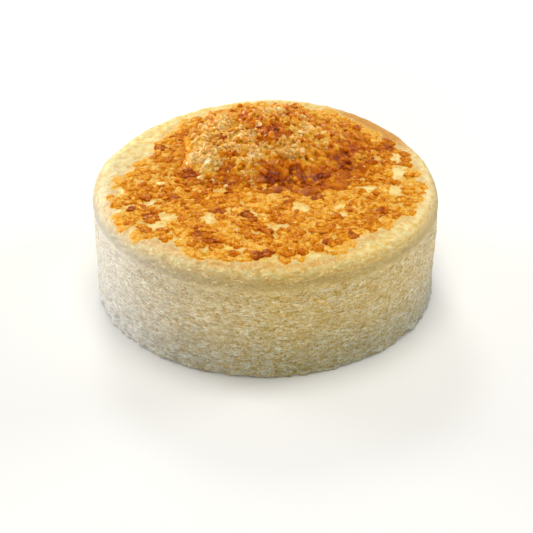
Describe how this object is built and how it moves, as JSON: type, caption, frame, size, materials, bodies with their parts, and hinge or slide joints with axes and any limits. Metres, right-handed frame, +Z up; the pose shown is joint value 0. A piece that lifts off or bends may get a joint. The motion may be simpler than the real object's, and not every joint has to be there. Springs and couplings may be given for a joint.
{
  "type": "jiggly cheesecake",
  "caption": "Tall round souffle cheesecake, soft porous sides and a rounded yellow shoulder, its top set with caramelised sugar and a heap of golden crumble.",
  "frame": {"origin": "centre of the flat underside, in the middle of the outline", "axes": "+Z up through the cake, -Y towards the front, +X to the right"},
  "size_m": [0.1496, 0.1502, 0.0636],
  "materials": {
    "sponge": "soft, porous, matte sponge with a smoother yellow skin on the shoulder and top",
    "caramel": "glassy burnt sugar, amber to dark brown, in fused granules",
    "crumble": "crunchy golden crumbs, half clear, with pale broken faces"
  },
  "bodies": {
    "root": {"cake_body": "sponge", "crumble_heap": "crumble"}
  },
  "joints": []
}
